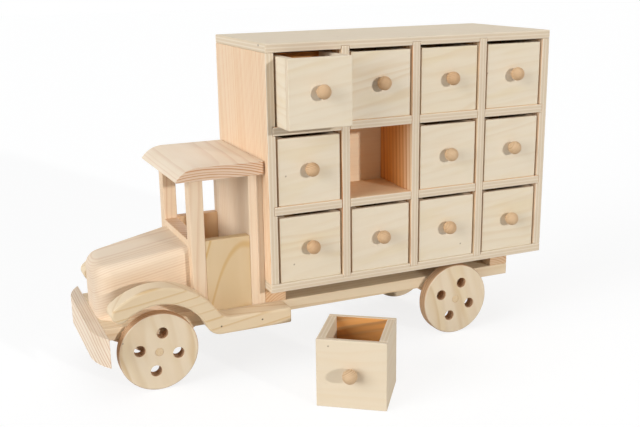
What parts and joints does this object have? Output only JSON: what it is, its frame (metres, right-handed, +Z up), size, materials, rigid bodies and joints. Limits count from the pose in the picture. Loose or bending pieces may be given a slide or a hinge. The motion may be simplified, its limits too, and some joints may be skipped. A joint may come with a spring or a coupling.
{
  "type": "wooden advent calendar",
  "caption": "Wooden toy lorry whose box body is an advent calendar: rows of small ball-knob drawers slide out of both long sides, and the lorry rolls on plywood wheels.",
  "frame": {"origin": "on the floor, in the middle of the lorry's width and midway between its two axles", "axes": "+X towards the lorry's rear end, +Y towards its right side, +Z up"},
  "size_m": [0.3715, 0.2176, 0.2422],
  "materials": {
    "plywood": "sanded plywood, unpainted",
    "pine": "sanded pine, unpainted",
    "drawer_wood": "sanded, unpainted",
    "beech": "turned and sanded, unpainted"
  },
  "bodies": {
    "truck": {"bonnet": "pine", "box_bottom": "plywood", "box_front_end": "plywood", "box_rear_end": "plywood", "box_top": "plywood", "bumper": "pine", "cab_back": "pine", "chassis_board": "pine", "front_axle_hanger": "pine", "front_spacer": "pine", "left_dividers": "plywood", "left_door": "pine", "left_fender": "pine", "left_shelves": "plywood", "middle_panel": "plywood", "rear_axle_hanger": "pine", "rear_spacer": "pine", "right_dividers": "plywood", "right_door": "pine", "right_fender": "pine", "right_shelves": "plywood", "roof": "pine", "windscreen_frame": "pine"},
    "front_wheels": {"front_axle": "beech", "front_left_wheel": "plywood", "front_right_wheel": "plywood"},
    "rear_wheels": {"rear_axle": "beech", "rear_left_wheel": "plywood", "rear_right_wheel": "plywood"},
    "left_drawer_r1c1": {"left_drawer_r1c1": "drawer_wood"},
    "left_drawer_r1c2": {"left_drawer_r1c2": "drawer_wood"},
    "left_drawer_r1c3": {"left_drawer_r1c3": "drawer_wood"},
    "left_drawer_r1c4": {"left_drawer_r1c4": "drawer_wood"},
    "left_drawer_r2c1": {"left_drawer_r2c1": "drawer_wood"},
    "left_drawer_r2c3": {"left_drawer_r2c3": "drawer_wood"},
    "left_drawer_r2c4": {"left_drawer_r2c4": "drawer_wood"},
    "left_drawer_r3c1": {"left_drawer_r3c1": "drawer_wood"},
    "left_drawer_r3c2": {"left_drawer_r3c2": "drawer_wood"},
    "left_drawer_r3c3": {"left_drawer_r3c3": "drawer_wood"},
    "left_drawer_r3c4": {"left_drawer_r3c4": "drawer_wood"},
    "right_drawer_r1c1": {"right_drawer_r1c1": "drawer_wood"},
    "right_drawer_r1c2": {"right_drawer_r1c2": "drawer_wood"},
    "right_drawer_r1c3": {"right_drawer_r1c3": "drawer_wood"},
    "right_drawer_r1c4": {"right_drawer_r1c4": "drawer_wood"},
    "right_drawer_r2c1": {"right_drawer_r2c1": "drawer_wood"},
    "right_drawer_r2c2": {"right_drawer_r2c2": "drawer_wood"},
    "right_drawer_r2c3": {"right_drawer_r2c3": "drawer_wood"},
    "right_drawer_r2c4": {"right_drawer_r2c4": "drawer_wood"},
    "right_drawer_r3c1": {"right_drawer_r3c1": "drawer_wood"},
    "right_drawer_r3c2": {"right_drawer_r3c2": "drawer_wood"},
    "right_drawer_r3c3": {"right_drawer_r3c3": "drawer_wood"},
    "right_drawer_r3c4": {"right_drawer_r3c4": "drawer_wood"},
    "loose_drawer": {"loose_drawer_back": "drawer_wood", "loose_drawer_bottom": "drawer_wood", "loose_drawer_front": "drawer_wood", "loose_drawer_knob": "beech", "loose_drawer_left_side": "drawer_wood", "loose_drawer_right_side": "drawer_wood"}
  },
  "joints": [
    {"name": "front_axle_turn", "type": "hinge", "parent": "truck", "child": "front_wheels", "pos_m": [-0.12315, 0, 0.029], "axis": [0, 1, 0], "continuous": true},
    {"name": "rear_axle_turn", "type": "hinge", "parent": "truck", "child": "rear_wheels", "pos_m": [0.12315, 0, 0.029], "axis": [0, 1, 0], "continuous": true},
    {"name": "left_drawer_r1c1_slide", "type": "slide", "parent": "truck", "child": "left_drawer_r1c1", "axis": [0, -1, 0], "range_m": [-0.022, 0.018]},
    {"name": "left_drawer_r1c2_slide", "type": "slide", "parent": "truck", "child": "left_drawer_r1c2", "axis": [0, -1, 0], "range_m": [0, 0.04]},
    {"name": "left_drawer_r1c3_slide", "type": "slide", "parent": "truck", "child": "left_drawer_r1c3", "axis": [0, -1, 0], "range_m": [0, 0.04]},
    {"name": "left_drawer_r1c4_slide", "type": "slide", "parent": "truck", "child": "left_drawer_r1c4", "axis": [0, -1, 0], "range_m": [0, 0.04]},
    {"name": "left_drawer_r2c1_slide", "type": "slide", "parent": "truck", "child": "left_drawer_r2c1", "axis": [0, -1, 0], "range_m": [0, 0.04]},
    {"name": "left_drawer_r2c3_slide", "type": "slide", "parent": "truck", "child": "left_drawer_r2c3", "axis": [0, -1, 0], "range_m": [0, 0.04]},
    {"name": "left_drawer_r2c4_slide", "type": "slide", "parent": "truck", "child": "left_drawer_r2c4", "axis": [0, -1, 0], "range_m": [0, 0.04]},
    {"name": "left_drawer_r3c1_slide", "type": "slide", "parent": "truck", "child": "left_drawer_r3c1", "axis": [0, -1, 0], "range_m": [0, 0.04]},
    {"name": "left_drawer_r3c2_slide", "type": "slide", "parent": "truck", "child": "left_drawer_r3c2", "axis": [0, -1, 0], "range_m": [0, 0.04]},
    {"name": "left_drawer_r3c3_slide", "type": "slide", "parent": "truck", "child": "left_drawer_r3c3", "axis": [0, -1, 0], "range_m": [0, 0.04]},
    {"name": "left_drawer_r3c4_slide", "type": "slide", "parent": "truck", "child": "left_drawer_r3c4", "axis": [0, -1, 0], "range_m": [0, 0.04]},
    {"name": "right_drawer_r1c1_slide", "type": "slide", "parent": "truck", "child": "right_drawer_r1c1", "axis": [0, 1, 0], "range_m": [0, 0.04]},
    {"name": "right_drawer_r1c2_slide", "type": "slide", "parent": "truck", "child": "right_drawer_r1c2", "axis": [0, 1, 0], "range_m": [0, 0.04]},
    {"name": "right_drawer_r1c3_slide", "type": "slide", "parent": "truck", "child": "right_drawer_r1c3", "axis": [0, 1, 0], "range_m": [0, 0.04]},
    {"name": "right_drawer_r1c4_slide", "type": "slide", "parent": "truck", "child": "right_drawer_r1c4", "axis": [0, 1, 0], "range_m": [0, 0.04]},
    {"name": "right_drawer_r2c1_slide", "type": "slide", "parent": "truck", "child": "right_drawer_r2c1", "axis": [0, 1, 0], "range_m": [0, 0.04]},
    {"name": "right_drawer_r2c2_slide", "type": "slide", "parent": "truck", "child": "right_drawer_r2c2", "axis": [0, 1, 0], "range_m": [0, 0.04]},
    {"name": "right_drawer_r2c3_slide", "type": "slide", "parent": "truck", "child": "right_drawer_r2c3", "axis": [0, 1, 0], "range_m": [0, 0.04]},
    {"name": "right_drawer_r2c4_slide", "type": "slide", "parent": "truck", "child": "right_drawer_r2c4", "axis": [0, 1, 0], "range_m": [0, 0.04]},
    {"name": "right_drawer_r3c1_slide", "type": "slide", "parent": "truck", "child": "right_drawer_r3c1", "axis": [0, 1, 0], "range_m": [0, 0.04]},
    {"name": "right_drawer_r3c2_slide", "type": "slide", "parent": "truck", "child": "right_drawer_r3c2", "axis": [0, 1, 0], "range_m": [0, 0.04]},
    {"name": "right_drawer_r3c3_slide", "type": "slide", "parent": "truck", "child": "right_drawer_r3c3", "axis": [0, 1, 0], "range_m": [0, 0.04]},
    {"name": "right_drawer_r3c4_slide", "type": "slide", "parent": "truck", "child": "right_drawer_r3c4", "axis": [0, 1, 0], "range_m": [0, 0.04]},
    {"name": "loose_drawer_slide", "type": "slide", "parent": "truck", "child": "loose_drawer", "axis": [-0.5878, -0.809, 0], "range_m": [0, 0.06]}
  ]
}
